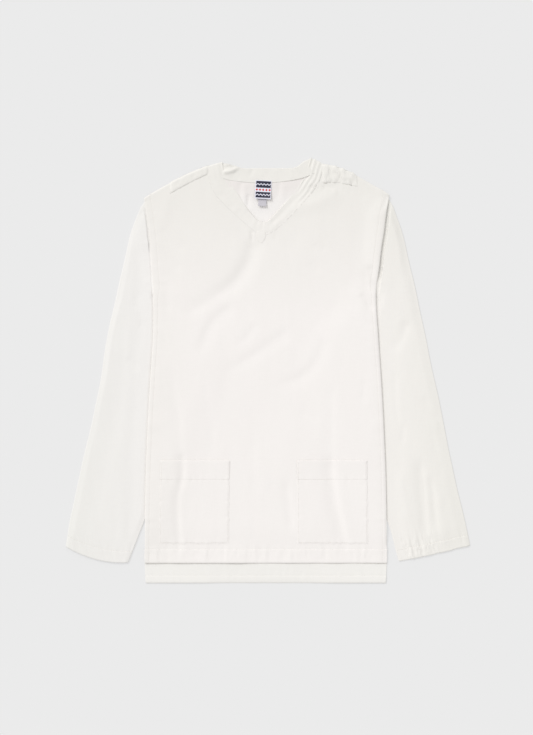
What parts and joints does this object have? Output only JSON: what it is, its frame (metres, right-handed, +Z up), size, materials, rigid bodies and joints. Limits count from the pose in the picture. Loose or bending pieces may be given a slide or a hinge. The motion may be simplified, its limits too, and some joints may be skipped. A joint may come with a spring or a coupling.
{
  "type": "army smock laid flat",
  "caption": "Long-sleeved pullover work smock in off-white cotton, laid flat, with a banded V neck, patch pockets, side vents and a longer back hem.",
  "frame": {"origin": "on the surface that the smock lies on, under the middle of its outline", "axes": "+Y from the hem towards the neck, +X towards the picture's right, +Z up from the surface"},
  "size_m": [0.7484, 0.7862, 0.01],
  "materials": {
    "cotton": "off-white cotton drill, matt, with a soft washed hand",
    "label": "close woven label cloth, slight sheen",
    "tab": "smooth white tape"
  },
  "bodies": {
    "root": {"front": "cotton", "back": "cotton", "sleeve_left": "cotton", "sleeve_right": "cotton", "neckband": "cotton", "shoulder_strip_left": "cotton", "shoulder_strip_right": "cotton", "pocket_left": "cotton", "pocket_right": "cotton", "v_patch": "cotton", "neck_label": "label", "size_tab": "tab"}
  },
  "joints": []
}
